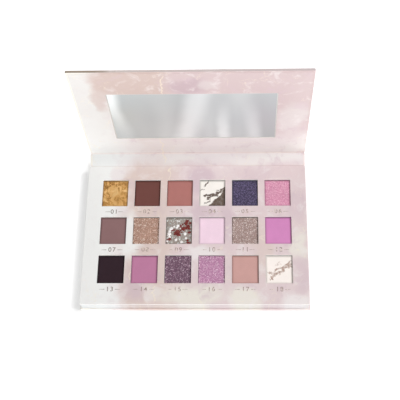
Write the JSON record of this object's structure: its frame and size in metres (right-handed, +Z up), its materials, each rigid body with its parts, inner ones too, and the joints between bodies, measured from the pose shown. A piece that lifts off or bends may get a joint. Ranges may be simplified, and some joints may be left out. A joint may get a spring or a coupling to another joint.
{
  "type": "eyeshadow palette",
  "caption": "Book-style cardboard palette: a shallow tray of rectangular powder pans under a printed card, a folding spine and a lid with an inset mirror.",
  "frame": {"origin": "on the underside of the base cover, below the middle of the tray", "axes": "+X to the user's right along the long side, +Y from the user towards the hinge, +Z up"},
  "size_m": [0.197, 0.1506, 0.1437],
  "materials": {
    "printed_card": "satin",
    "printed_paper": "satin",
    "greyboard": "matte",
    "white_board": "matte",
    "corrugated_card": "matte",
    "adhesive": "satin",
    "tinplate": "satin",
    "magnet_steel": "satin",
    "mirror_glass": "polished",
    "powder_01": "gold foil, crumpled",
    "powder_02": "matte",
    "powder_03": "matte",
    "powder_04": "satin, marbled",
    "powder_05": "shimmer",
    "powder_06": "shimmer",
    "powder_07": "matte",
    "powder_08": "glitter",
    "powder_09": "coarse glitter with pearls",
    "powder_10": "matte",
    "powder_11": "glitter",
    "powder_12": "matte",
    "powder_13": "matte",
    "powder_14": "matte",
    "powder_15": "glitter",
    "powder_16": "glitter",
    "powder_17": "matte",
    "powder_18": "satin, marbled"
  },
  "bodies": {
    "tray": {"base_wrap": "printed_paper", "base_board": "greyboard", "tray_frame": "printed_paper", "pan_platform": "corrugated_card", "adhesive_sheet": "adhesive", "pan_carrier": "white_board", "top_card": "printed_card", "base_magnet_left": "magnet_steel", "base_magnet_right": "magnet_steel", "pan_01": "tinplate", "pan_02": "tinplate", "pan_03": "tinplate", "pan_04": "tinplate", "pan_05": "tinplate", "pan_06": "tinplate", "pan_07": "tinplate", "pan_08": "tinplate", "pan_09": "tinplate", "pan_10": "tinplate", "pan_11": "tinplate", "pan_12": "tinplate", "pan_13": "tinplate", "pan_14": "tinplate", "pan_15": "tinplate", "pan_16": "tinplate", "pan_17": "tinplate", "pan_18": "tinplate", "powder_01": "powder_01", "powder_02": "powder_02", "powder_03": "powder_03", "powder_04": "powder_04", "powder_05": "powder_05", "powder_06": "powder_06", "powder_07": "powder_07", "powder_08": "powder_08", "powder_09": "powder_09", "powder_10": "powder_10", "powder_11": "powder_11", "powder_12": "powder_12", "powder_13": "powder_13", "powder_14": "powder_14", "powder_15": "powder_15", "powder_16": "powder_16", "powder_17": "powder_17", "powder_18": "powder_18"},
    "spine": {"spine_wrap": "printed_paper", "spine_board": "greyboard", "spine_lining": "printed_paper", "lower_hinge_crease": "printed_paper"},
    "lid": {"lid_wrap": "printed_paper", "lid_board": "greyboard", "mirror_frame": "greyboard", "lid_lining": "printed_paper", "mirror_tape": "adhesive", "mirror": "mirror_glass", "lid_keeper_left": "magnet_steel", "lid_keeper_right": "magnet_steel", "upper_hinge_crease": "printed_paper"}
  },
  "joints": [
    {"name": "spine_fold", "type": "hinge", "parent": "tray", "child": "spine", "pos_m": [0, 0.07003, 0.00128], "axis": [1, 0, 0], "range_deg": [-24, 66]},
    {"name": "lid_fold", "type": "hinge", "parent": "spine", "child": "lid", "pos_m": [0, 0.08263, 0.00689], "axis": [1, 0, 0], "range_deg": [-66, 24]}
  ]
}
